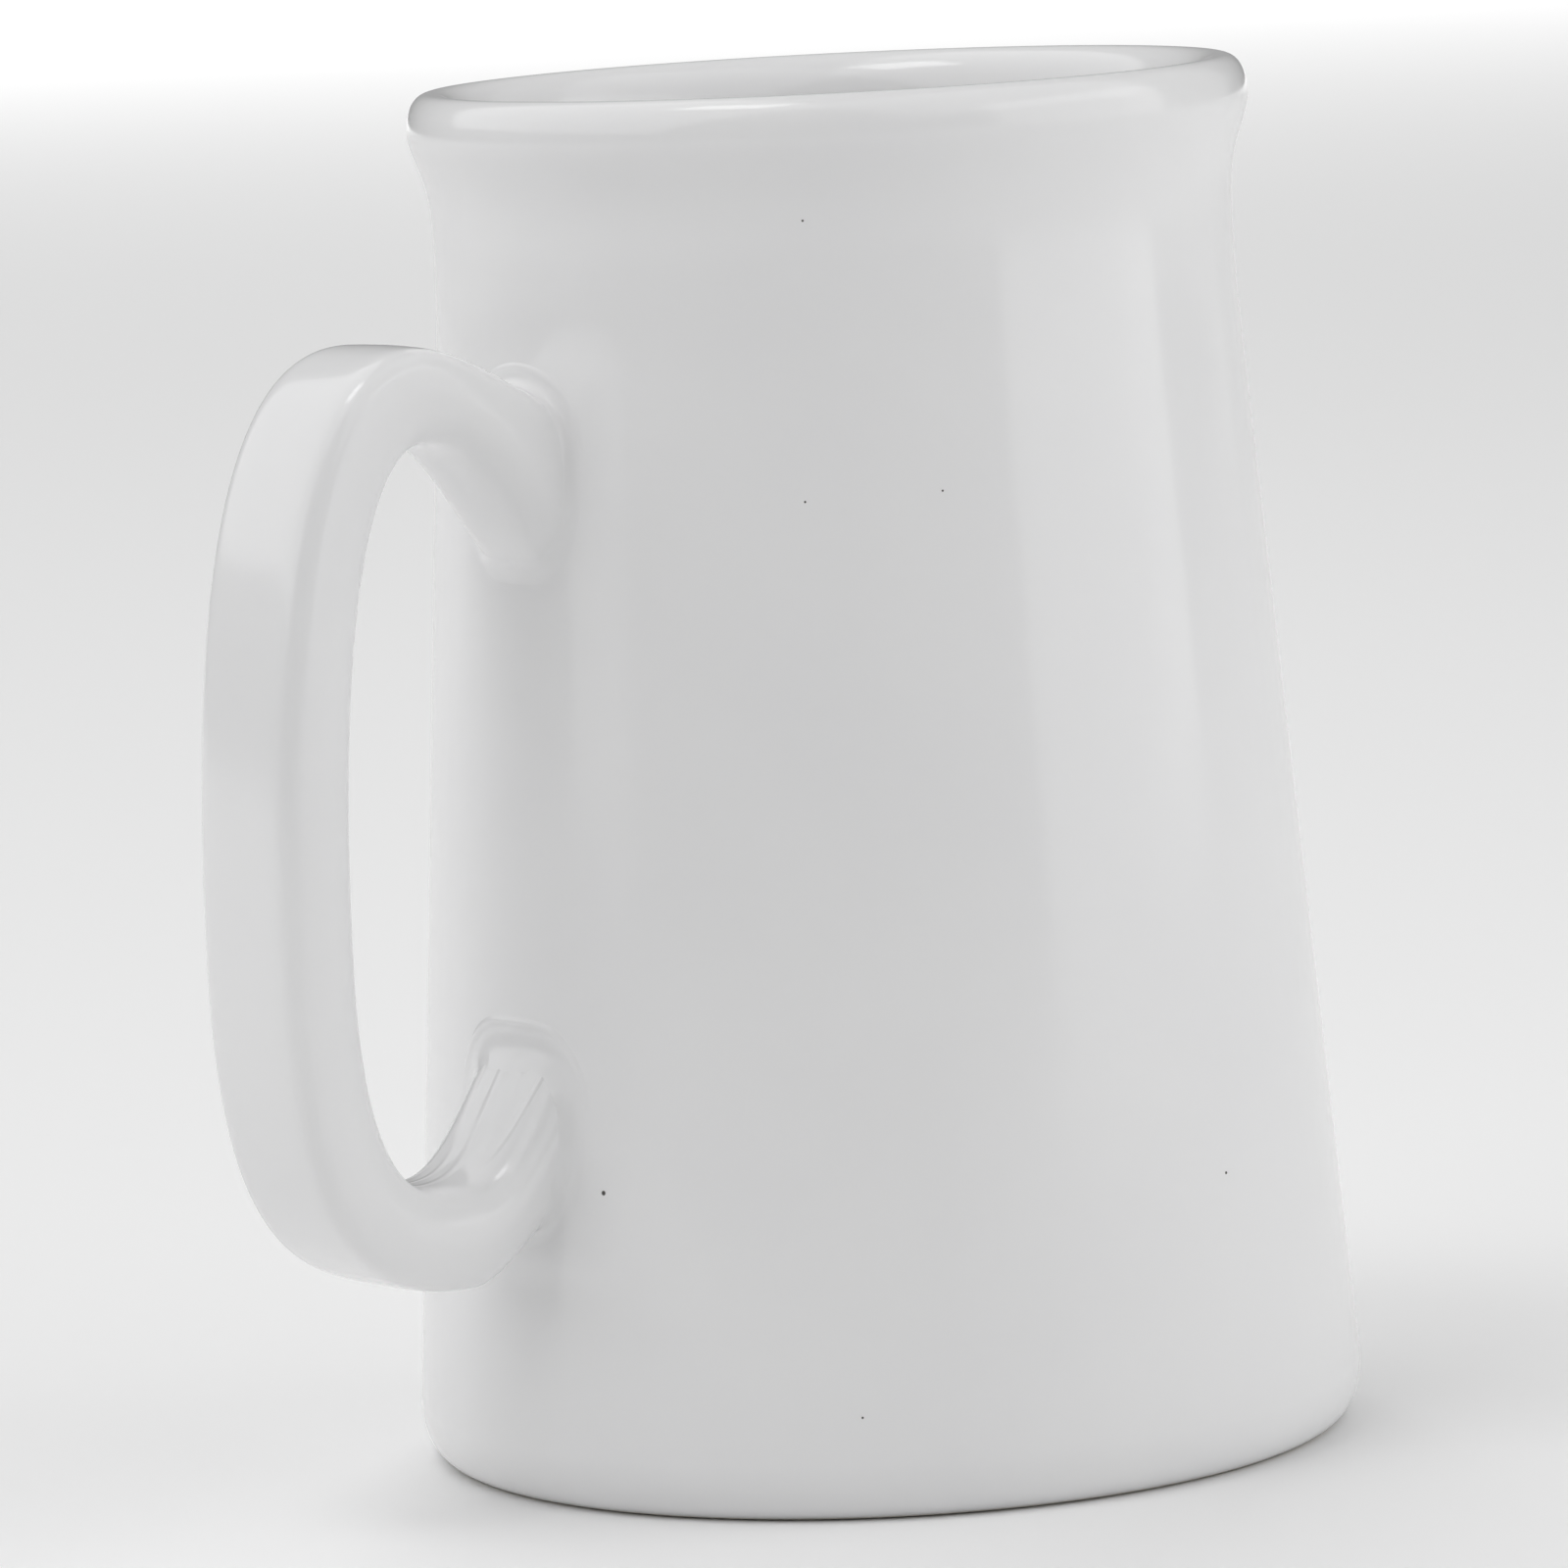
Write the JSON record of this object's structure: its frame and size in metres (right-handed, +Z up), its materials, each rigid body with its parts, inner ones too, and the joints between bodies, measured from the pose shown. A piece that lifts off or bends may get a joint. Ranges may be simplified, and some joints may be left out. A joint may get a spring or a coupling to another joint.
{
  "type": "shaving mug",
  "caption": "White glazed ceramic shaving mug: tapered round cup with a flared rounded lip and a large C-shaped strap handle luted to its side.",
  "frame": {"origin": "bottom centre of the whole mug's bounding box, on the table; the cup's own axis is vertical and stands off it towards +X", "axes": "+Z up along the cup's axis, the handle on the -X side, +Y across the handle"},
  "size_m": [0.1146, 0.0878, 0.127],
  "materials": {
    "cup_glaze": "glossy white glaze over white cast ceramic",
    "handle_glaze": "glossy white glaze over white cast ceramic",
    "joint_slip": "glossy white glaze over white slip"
  },
  "bodies": {
    "root": {"cup_body": "cup_glaze", "handle": "handle_glaze", "upper_slip_joint": "joint_slip", "lower_slip_joint": "joint_slip"}
  },
  "joints": []
}
